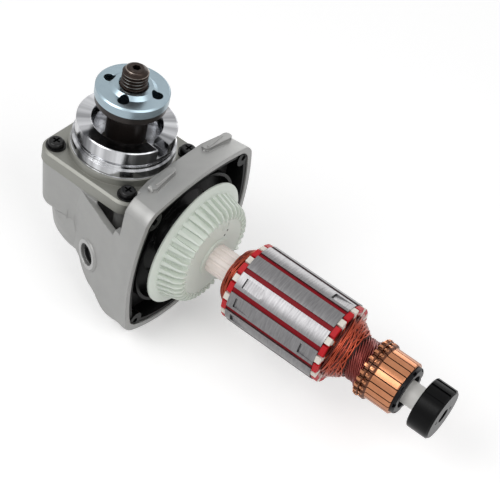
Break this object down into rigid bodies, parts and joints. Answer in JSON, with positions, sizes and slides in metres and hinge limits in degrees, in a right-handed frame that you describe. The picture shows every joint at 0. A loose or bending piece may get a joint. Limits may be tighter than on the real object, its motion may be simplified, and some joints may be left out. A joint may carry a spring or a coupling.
{
  "type": "motor armature with gear head",
  "caption": "Motor armature with fan, wound core and commutator, fitted in a right-angle gear head whose bevel gears turn a threaded spindle.",
  "frame": {"origin": "middle of the four motor case screw holes in the face of the housing mouth, on the armature axis", "axes": "+X along the armature axis away from the gear head, +Z along the spindle axis towards its threaded end"},
  "size_m": [0.2866, 0.114, 0.1566],
  "materials": {
    "cast_housing": "satin cast",
    "cast_box": "satin cast, turned collar",
    "black_plastic": "gloss moulded",
    "black_steel": "black oxide",
    "bearing_steel": "ground",
    "gear_steel": "case hardened",
    "felt": "felt",
    "spindle_steel": "dark oiled",
    "zinc_steel": "blue-white zinc plate",
    "shaft_steel": "ground",
    "nylon": "natural moulded",
    "cream_plastic": "moulded",
    "core_steel": "stacked laminations",
    "red_paper": "red slot paper",
    "white_insulator": "moulded",
    "enamelled_copper": "enamelled copper wire",
    "cord": "varnished lashing cord",
    "commutator_copper": "turned copper",
    "black_phenolic": "moulded",
    "white_sleeve": "moulded",
    "boot_rubber": "moulded rubber"
  },
  "bodies": {
    "gear_head": {"gear_housing": "cast_housing", "mouth_baffle": "black_plastic", "bearing_box": "cast_box", "box_screws": "black_steel", "box_washers": "black_steel", "bearing_retainer": "bearing_steel", "felt_seal": "felt", "spindle_bearing_outer": "bearing_steel", "tail_bearing_shell": "bearing_steel", "front_bearing_outer": "bearing_steel", "front_bearing_retainer": "bearing_steel"},
    "spindle": {"spindle": "spindle_steel", "ring_gear": "gear_steel", "ring_gear_clip": "black_steel", "spindle_bearing_inner": "bearing_steel", "dust_hub": "black_steel", "inner_flange": "black_steel", "lock_nut": "zinc_steel"},
    "armature": {"armature_shaft": "shaft_steel", "bevel_pinion": "gear_steel", "pinion_nut": "zinc_steel", "front_bearing_inner": "bearing_steel", "fan": "nylon", "front_sleeve": "cream_plastic", "armature_core": "core_steel", "slot_liners": "red_paper", "slot_wedges": "red_paper", "slot_coils": "enamelled_copper", "front_end_plate": "white_insulator", "rear_end_plate": "white_insulator", "front_winding": "enamelled_copper", "rear_winding": "enamelled_copper", "winding_cord": "cord", "commutator_hub": "black_phenolic", "commutator_bars": "commutator_copper", "rear_sleeve": "white_sleeve", "rear_bearing_inner": "bearing_steel"},
    "end_boot": {"rear_bearing_outer": "bearing_steel", "end_boot": "boot_rubber"}
  },
  "joints": [
    {"name": "armature_spin", "type": "hinge", "parent": "gear_head", "child": "armature", "pos_m": [0, 0, 0], "axis": [1, 0, 0], "continuous": true},
    {"name": "spindle_spin", "type": "hinge", "parent": "gear_head", "child": "spindle", "pos_m": [-0.06, 0, 0], "axis": [0, 0, 1], "continuous": true},
    {"name": "boot_spin", "type": "hinge", "parent": "armature", "child": "end_boot", "pos_m": [0.18, 0, 0], "axis": [1, 0, 0], "continuous": true}
  ],
  "couplings": [
    {"joint": "spindle_spin", "follows": "armature_spin", "ratio": -0.27027}
  ]
}
